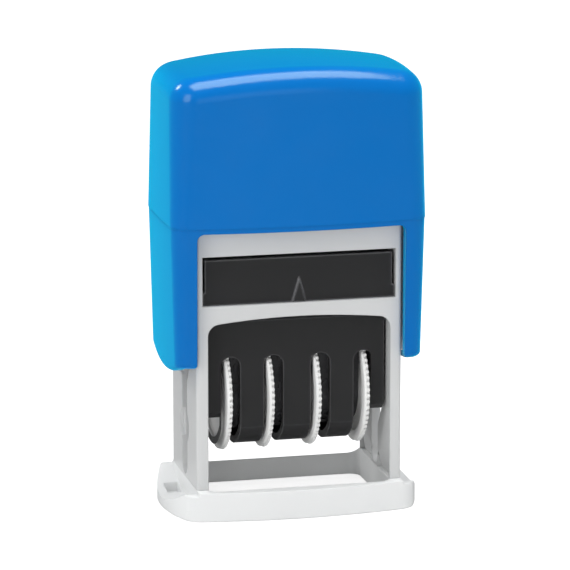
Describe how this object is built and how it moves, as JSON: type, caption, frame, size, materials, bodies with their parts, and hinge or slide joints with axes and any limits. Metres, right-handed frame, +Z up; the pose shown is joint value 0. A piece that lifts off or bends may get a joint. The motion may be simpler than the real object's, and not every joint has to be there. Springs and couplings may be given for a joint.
{
  "type": "self-inking date stamp",
  "caption": "Compact self-inking date stamp: press cap over a windowed frame, with a date carriage that flips from the ink pad to the paper.",
  "frame": {"origin": "on the floor under the middle of the stamp, which stands on its foot ring with the cap up", "axes": "+Z up, X across the front, -Y out of the front with the setting wheels; +X is the right side seen from the front"},
  "size_m": [0.0426, 0.0268, 0.0743],
  "materials": {
    "cap_blue": "gloss",
    "housing_grey": "satin",
    "yoke_grey": "satin",
    "cartridge_black": "satin",
    "carriage_black": "satin",
    "ink_felt": "ink-soaked felt",
    "wheel_white": "satin",
    "band_rubber": "matte",
    "spring_steel": "drawn wire",
    "shaft_steel": "ground"
  },
  "bodies": {
    "housing": {"foot": "housing_grey", "frame": "housing_grey", "pad_cartridge": "cartridge_black", "ink_pad": "ink_felt", "return_spring": "spring_steel"},
    "cap": {"cap_shell": "cap_blue", "cap_yoke": "yoke_grey", "axle_pins": "yoke_grey"},
    "carriage": {"carriage_body": "carriage_black", "cheek_left": "carriage_black", "cheek_right": "carriage_black", "wheel_shaft": "shaft_steel", "print_bar": "carriage_black", "index_spring": "shaft_steel", "date_band_1": "band_rubber", "date_band_2": "band_rubber", "date_band_3": "band_rubber", "date_band_4": "band_rubber"},
    "wheel_1": {"setting_wheel_1": "wheel_white"},
    "wheel_2": {"setting_wheel_2": "wheel_white"},
    "wheel_3": {"setting_wheel_3": "wheel_white"},
    "wheel_4": {"setting_wheel_4": "wheel_white"}
  },
  "joints": [
    {"name": "cap_press", "type": "slide", "parent": "housing", "child": "cap", "axis": [0, 0, -1], "range_m": [0, 0.021], "stiffness_N_per_m": 300, "springref_m": -0.01, "deforming": ["return_spring"]},
    {"name": "carriage_flip", "type": "hinge", "parent": "cap", "child": "carriage", "pos_m": [0, 0, 0.0282], "axis": [-1, 0, 0], "range_deg": [0, 180]},
    {"name": "wheel_1_turn", "type": "hinge", "parent": "carriage", "child": "wheel_1", "pos_m": [-0.01147, 0, 0.0189], "axis": [1, 0, 0], "continuous": true},
    {"name": "wheel_2_turn", "type": "hinge", "parent": "carriage", "child": "wheel_2", "pos_m": [-0.00447, 0, 0.0189], "axis": [1, 0, 0], "continuous": true},
    {"name": "wheel_3_turn", "type": "hinge", "parent": "carriage", "child": "wheel_3", "pos_m": [0.00338, 0, 0.0189], "axis": [1, 0, 0], "continuous": true},
    {"name": "wheel_4_turn", "type": "hinge", "parent": "carriage", "child": "wheel_4", "pos_m": [0.01148, 0, 0.0189], "axis": [1, 0, 0], "continuous": true}
  ],
  "couplings": [
    {"joint": "carriage_flip", "follows": "cap_press", "rad_per_m": 149.6}
  ]
}
